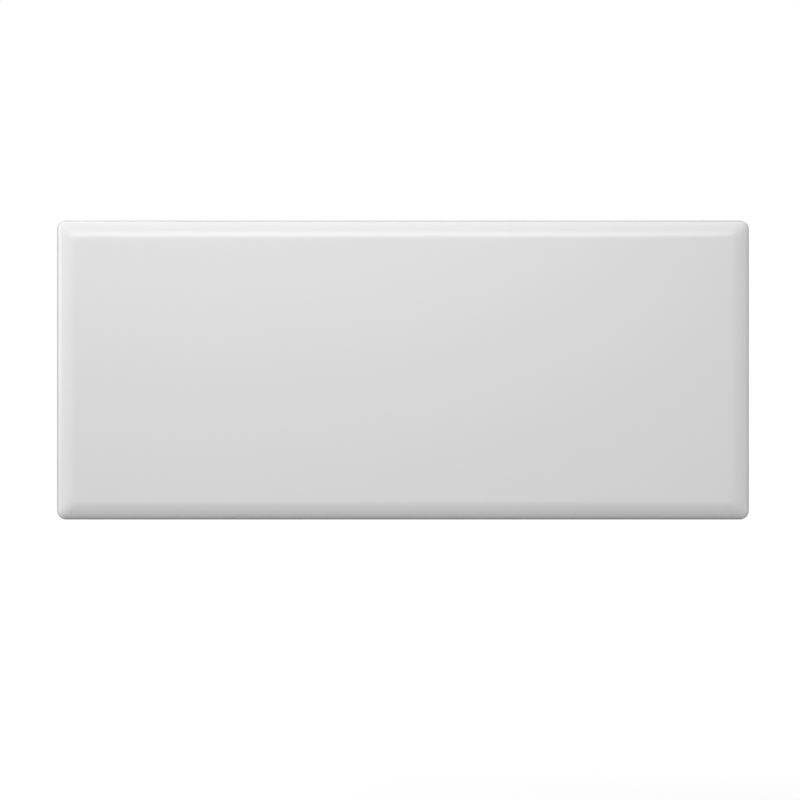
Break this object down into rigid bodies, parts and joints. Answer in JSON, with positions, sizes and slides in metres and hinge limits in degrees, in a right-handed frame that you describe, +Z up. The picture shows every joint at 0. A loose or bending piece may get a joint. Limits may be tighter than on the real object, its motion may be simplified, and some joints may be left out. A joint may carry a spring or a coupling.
{
  "type": "convector heater",
  "caption": "Slim wall-hung convector panel heater with a rolled-edge front, a top outlet and a hook-on wall bracket.",
  "frame": {"origin": "centre of the wall bracket's four screw holes, on the wall plane", "axes": "+Z up, +Y into the wall, -Y out of the heater's front, +X to the right as seen from the front"},
  "size_m": [0.925, 0.09, 0.4],
  "materials": {
    "front_paint": "satin fine-textured powder coat",
    "casing_paint": "satin powder coat",
    "grille_paint": "satin powder coat",
    "zinc_steel": "zinc plated",
    "zinc_screws": "zinc plated",
    "galvanised_sheet": "galvanised",
    "black_rubber": "matt",
    "element_aluminium": "as extruded",
    "rod_steel": "heat stained",
    "ceramic": "matt ceramic",
    "shield_aluminium": "mill finish",
    "dark_moulding": "matt",
    "control_plastic": "fine spark texture",
    "grey_moulding": "matt",
    "circuit_board": "solder resist",
    "blue_moulding": "matt",
    "amber_lens": "clear amber",
    "black_moulding": "fine texture",
    "dial_plastic": "satin",
    "rocker_plastic": "satin",
    "cream_moulding": "matt",
    "brass": "turned",
    "white_insulation": "silicone",
    "brown_insulation": "silicone",
    "blue_insulation": "silicone",
    "earth_insulation": "silicone",
    "bracket_zinc": "zinc plated",
    "rod_zinc": "drawn bright",
    "catch_plastic": "fine texture",
    "spring_steel": "bright"
  },
  "bodies": {
    "wall_bracket": {"bracket_upright_left": "bracket_zinc", "bracket_upright_right": "bracket_zinc", "bracket_rail_upper": "bracket_zinc", "bracket_rail_lower": "bracket_zinc", "catch_guides": "bracket_zinc", "catch_spring_left": "spring_steel", "catch_spring_right": "spring_steel"},
    "heater": {"front_panel": "front_paint", "rear_casing": "casing_paint", "outlet_grille": "grille_paint", "panel_brackets": "zinc_steel", "casing_screws": "zinc_screws", "partition_plate": "galvanised_sheet", "partition_grommet": "black_rubber", "element_bracket": "galvanised_sheet", "heating_element": "element_aluminium", "element_rod": "rod_steel", "element_insulators": "ceramic", "rear_heat_shield": "shield_aluminium", "front_heat_shield": "shield_aluminium", "overheat_cutout": "dark_moulding", "control_panel": "control_plastic", "thermostat_housing": "grey_moulding", "control_board": "circuit_board", "dial_potentiometer": "blue_moulding", "power_relay": "dark_moulding", "mode_switch": "dark_moulding", "indicator_lens": "amber_lens", "rocker_housing": "black_moulding", "terminal_block": "cream_moulding", "terminal_screws": "brass", "earth_stud": "brass", "cable_gland": "black_moulding", "gland_locknut": "black_moulding", "room_sensor": "dark_moulding", "sensor_lead": "white_insulation", "wiring_live": "brown_insulation", "wiring_neutral": "blue_insulation", "wiring_earth": "earth_insulation", "pivot_brackets": "bracket_zinc", "pivot_rods": "rod_zinc", "rivets": "zinc_screws"},
    "dial": {"thermostat_dial": "dial_plastic"},
    "button": {"mode_button": "dial_plastic"},
    "rocker": {"rocker_paddle": "rocker_plastic"},
    "left_catch": {"catch_left": "catch_plastic"},
    "right_catch": {"catch_right": "catch_plastic"}
  },
  "joints": [
    {"name": "heater_tilt", "type": "hinge", "parent": "wall_bracket", "child": "heater", "pos_m": [0, -0.02, -0.15], "axis": [1, 0, 0], "range_deg": [0, 25]},
    {"name": "left_catch_press", "type": "slide", "parent": "wall_bracket", "child": "left_catch", "axis": [0, 0, -1], "range_m": [0, 0.005], "stiffness_N_per_m": 500, "springref_m": -0.008, "deforming": ["catch_spring_left"]},
    {"name": "right_catch_press", "type": "slide", "parent": "wall_bracket", "child": "right_catch", "axis": [0, 0, -1], "range_m": [0, 0.005], "stiffness_N_per_m": 500, "springref_m": -0.008, "deforming": ["catch_spring_right"]},
    {"name": "dial_turn", "type": "hinge", "parent": "heater", "child": "dial", "pos_m": [0.3925, -0.053, 0.19], "axis": [0, 0, -1], "range_deg": [0, 270]},
    {"name": "button_press", "type": "slide", "parent": "heater", "child": "button", "axis": [0, 0, -1], "range_m": [0, 0.0012], "stiffness_N_per_m": 400, "springref_m": -0.003},
    {"name": "rocker_tip", "type": "hinge", "parent": "heater", "child": "rocker", "pos_m": [0.3525, -0.053, 0.1875], "axis": [0, 1, 0], "range_deg": [0, 14]}
  ]
}
